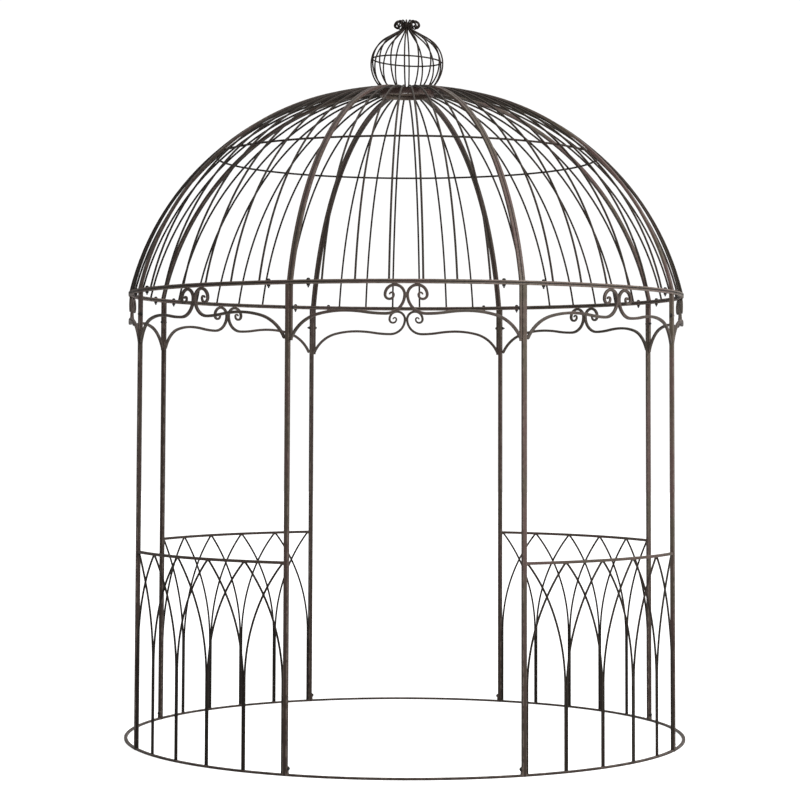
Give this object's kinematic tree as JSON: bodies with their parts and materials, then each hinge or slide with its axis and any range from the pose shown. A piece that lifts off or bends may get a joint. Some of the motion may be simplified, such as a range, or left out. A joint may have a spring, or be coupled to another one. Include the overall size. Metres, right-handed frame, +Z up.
{
  "type": "garden pavilion",
  "caption": "Round open wire-work garden pavilion with a ribbed dome, railed side bays, open doorways, scrolled friezes and an onion-shaped wire finial.",
  "frame": {"origin": "on the ground at the centre of the plan", "axes": "+Z up the pavilion's axis, -Y out of the front doorway, +X out of the right doorway"},
  "size_m": [2.515, 2.515, 3.2219],
  "materials": {
    "frame_tube": "satin antique brown paint",
    "wire_work": "satin antique brown paint",
    "scroll_bar": "satin antique brown paint"
  },
  "bodies": {
    "root": {"right_back_post": "frame_tube", "back_right_post": "frame_tube", "back_left_post": "frame_tube", "left_back_post": "frame_tube", "left_front_post": "frame_tube", "front_left_post": "frame_tube", "front_right_post": "frame_tube", "right_front_post": "frame_tube", "right_sill_arc": "frame_tube", "right_frieze": "scroll_bar", "right_dome_panel": "wire_work", "back_right_railing": "wire_work", "back_right_frieze": "scroll_bar", "back_right_dome_panel": "wire_work", "back_sill_arc": "frame_tube", "back_frieze": "scroll_bar", "back_dome_panel": "wire_work", "back_left_railing": "wire_work", "back_left_frieze": "scroll_bar", "back_left_dome_panel": "wire_work", "left_sill_arc": "frame_tube", "left_frieze": "scroll_bar", "left_dome_panel": "wire_work", "front_left_railing": "wire_work", "front_left_frieze": "scroll_bar", "front_left_dome_panel": "wire_work", "front_sill_arc": "frame_tube", "front_frieze": "scroll_bar", "front_dome_panel": "wire_work", "front_right_railing": "wire_work", "front_right_frieze": "scroll_bar", "front_right_dome_panel": "wire_work", "crown_collar": "frame_tube", "finial_cage": "wire_work"}
  },
  "joints": []
}
